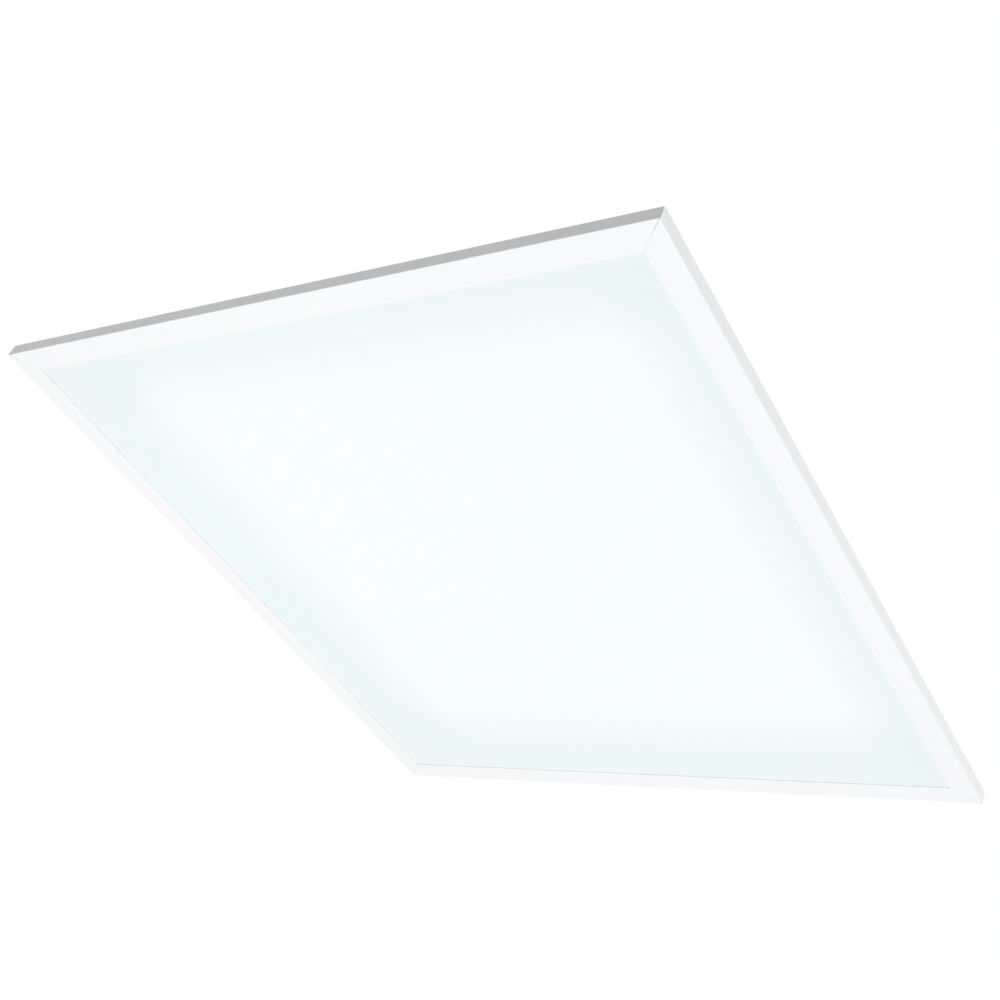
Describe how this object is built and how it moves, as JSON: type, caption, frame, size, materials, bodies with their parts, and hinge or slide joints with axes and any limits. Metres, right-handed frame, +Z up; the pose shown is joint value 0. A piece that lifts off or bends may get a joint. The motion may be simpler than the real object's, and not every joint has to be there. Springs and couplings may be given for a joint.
{
  "type": "recessed troffer light",
  "caption": "Slim square lay-in ceiling light with a mitred white frame, lit opal diffuser, rear driver box with hinged access door, and swinging grid clips.",
  "frame": {"origin": "centre of the rim's visible face, which rests on the ceiling grid", "axes": "+Z up into the ceiling void, light leaves towards -Z, front edge towards -Y, driver box behind the centre towards +Y"},
  "size_m": [0.603, 0.603, 0.0554],
  "materials": {
    "frame_paint": "satin white powder coat on extruded aluminium",
    "key_zinc": "as cast",
    "opal_diffuser": "opal acrylic, lit from behind",
    "clear_guide": "clear acrylic with printed dots",
    "reflector_film": "white film",
    "foam": "soft white foam sheet",
    "board_mask": "white solder mask on aluminium",
    "chip_phosphor": "yellow phosphor in a white cup",
    "plate_paint": "white coated sheet steel",
    "zinc_screw": "bright zinc",
    "box_steel": "galvanised sheet",
    "clip_steel": "galvanised spring steel",
    "driver_plastic": "white polycarbonate case",
    "black_insulation": "PVC insulation",
    "white_insulation": "PVC insulation",
    "green_insulation": "PVC insulation",
    "red_insulation": "PVC insulation",
    "grey_jacket": "white-grey PVC jacket",
    "black_rubber": "moulded rubber",
    "nylon": "natural nylon",
    "connector_plastic": "orange polycarbonate",
    "tin_plate": "tin plated copper",
    "green_screw": "green passivated"
  },
  "bodies": {
    "panel": {"frame_rail_front": "frame_paint", "frame_rail_right": "frame_paint", "frame_rail_rear": "frame_paint", "frame_rail_left": "frame_paint", "corner_key_front_left": "key_zinc", "corner_key_front_right": "key_zinc", "corner_key_rear_right": "key_zinc", "corner_key_rear_left": "key_zinc", "corner_key_screws": "zinc_screw", "diffuser": "opal_diffuser", "light_guide": "clear_guide", "reflector_sheet": "reflector_film", "foam_pad": "foam", "led_board_left": "board_mask", "led_board_right": "board_mask", "led_chips_left": "chip_phosphor", "led_chips_right": "chip_phosphor", "board_leads_left": "red_insulation", "board_leads_right": "red_insulation", "back_plate": "plate_paint", "back_plate_screws": "zinc_screw", "suspension_nuts": "zinc_screw", "driver_box_tray": "box_steel", "driver_box_rivets": "tin_plate", "driver_box_cover": "box_steel", "cover_screws": "zinc_screw", "partition": "box_steel", "partition_bushing": "nylon", "door_hinge_leaf": "box_steel", "door_hinge_pin": "zinc_screw", "door_nut": "zinc_screw", "driver_base": "box_steel", "driver_can": "driver_plastic", "driver_screws": "zinc_screw", "lead_black": "black_insulation", "lead_white": "white_insulation", "lead_green": "green_insulation", "wire_connectors": "connector_plastic", "earth_ring": "tin_plate", "ground_screw": "green_screw", "output_lead": "grey_jacket", "box_grommet": "black_rubber", "panel_grommet": "black_rubber", "grid_clip_rivets": "tin_plate"},
    "clip_front_left": {"grid_clip_front_left": "clip_steel"},
    "clip_front_right": {"grid_clip_front_right": "clip_steel"},
    "clip_rear_right": {"grid_clip_rear_right": "clip_steel"},
    "clip_rear_left": {"grid_clip_rear_left": "clip_steel"},
    "door": {"access_door": "box_steel"},
    "thumb_screw": {"door_thumb_screw": "zinc_screw"}
  },
  "joints": [
    {"name": "clip_swing_front_left", "type": "hinge", "parent": "panel", "child": "clip_front_left", "pos_m": [-0.2, -0.2755, 0.0103], "axis": [0, 0, -1], "range_deg": [0, 90]},
    {"name": "clip_swing_front_right", "type": "hinge", "parent": "panel", "child": "clip_front_right", "pos_m": [0.2, -0.2755, 0.0103], "axis": [0, 0, 1], "range_deg": [0, 90]},
    {"name": "clip_swing_rear_right", "type": "hinge", "parent": "panel", "child": "clip_rear_right", "pos_m": [0.2, 0.2755, 0.0103], "axis": [0, 0, -1], "range_deg": [0, 90]},
    {"name": "clip_swing_rear_left", "type": "hinge", "parent": "panel", "child": "clip_rear_left", "pos_m": [-0.2, 0.2755, 0.0103], "axis": [0, 0, 1], "range_deg": [0, 90]},
    {"name": "door_hinge", "type": "hinge", "parent": "panel", "child": "door", "pos_m": [-0.1025, 0.15835, 0.04705], "axis": [-1, 0, 0], "range_deg": [0, 110]},
    {"name": "thumb_screw_turn", "type": "hinge", "parent": "door", "child": "thumb_screw", "pos_m": [-0.1025, 0.0703, 0.0494], "axis": [0, 0, 1], "continuous": true}
  ]
}
